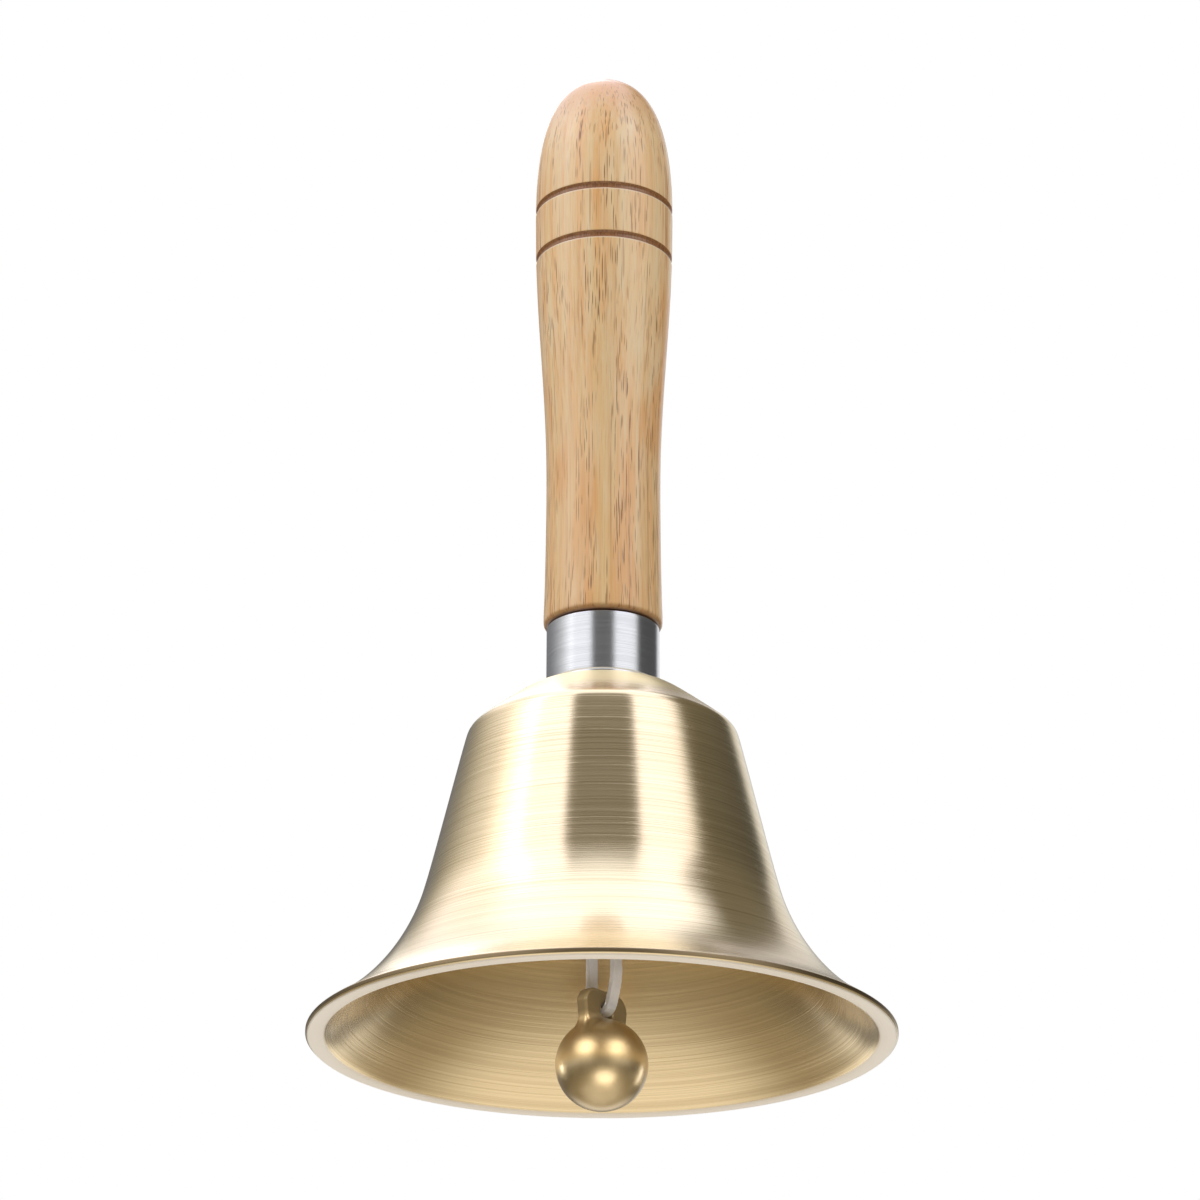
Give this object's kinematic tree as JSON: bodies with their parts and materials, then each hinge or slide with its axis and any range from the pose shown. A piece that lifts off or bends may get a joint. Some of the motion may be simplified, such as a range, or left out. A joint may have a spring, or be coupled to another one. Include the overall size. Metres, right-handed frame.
{
  "type": "hand bell",
  "caption": "Hand bell with a turned wooden handle, a metal ferrule, a flared brass bell and a ball clapper hung inside on a strap.",
  "frame": {"origin": "middle of the grip, on the handle's axis", "axes": "+Z along the handle's axis, away from the bell; the clapper's lug lies in a vertical plane turned 52 degrees from +X about +Z"},
  "size_m": [0.11, 0.11, 0.213],
  "materials": {
    "lacquered_oak": "satin lacquer over light oak",
    "ferrule_aluminium": "turned, fine rings",
    "bell_brass": "satin brushed around the axis",
    "clapper_brass": "semi-gloss, cast and tumbled",
    "strap_nylon": "natural translucent nylon",
    "zinc_steel": "zinc plated",
    "washer_leather": "plain tanned"
  },
  "bodies": {
    "bell": {"bell_shell": "bell_brass", "ferrule": "ferrule_aluminium", "handle": "lacquered_oak", "leather_washer": "washer_leather", "clamp_washer": "zinc_steel", "lock_washer": "zinc_steel", "hex_nut": "zinc_steel", "eye_hanger": "zinc_steel"},
    "strap": {"suspension_strap": "strap_nylon"},
    "clapper": {"clapper": "clapper_brass"}
  },
  "joints": [
    {"name": "strap_swing", "type": "hinge", "parent": "bell", "child": "strap", "pos_m": [0, 0, -0.074], "axis": [0.6157, 0.788, 0], "range_deg": [-38.7, 38.7]},
    {"name": "clapper_swing", "type": "hinge", "parent": "strap", "child": "clapper", "pos_m": [0, 0, -0.1146], "axis": [0.788, -0.6157, 0], "range_deg": [-50, 50]}
  ]
}
